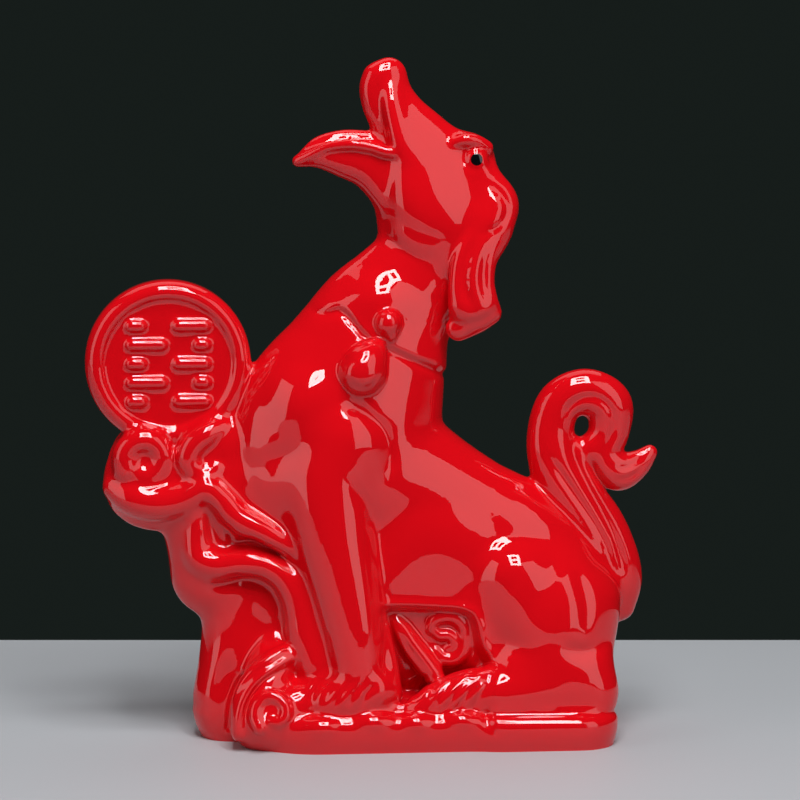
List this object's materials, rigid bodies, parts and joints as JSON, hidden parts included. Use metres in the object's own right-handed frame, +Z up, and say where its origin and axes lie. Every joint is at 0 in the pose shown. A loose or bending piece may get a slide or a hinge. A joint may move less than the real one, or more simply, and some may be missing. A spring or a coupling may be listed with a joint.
{
  "type": "porcelain zodiac dog figure",
  "caption": "Seated dog howling at the sky beside a coin on a cloud-scrolled rock, one glazed casting on a low plinth.",
  "frame": {"origin": "middle of the footprint, in the plane of the underside that the figure stands on", "axes": "+Z up, -Y towards the viewer, X along the dog from the coin (-X) to the tail (+X)"},
  "size_m": [0.2024, 0.0759, 0.2395],
  "materials": {
    "red_glaze": "clear high-gloss glaze over deep red, with a small black eye"
  },
  "bodies": {
    "root": {"zodiac_dog": "red_glaze"}
  },
  "joints": []
}
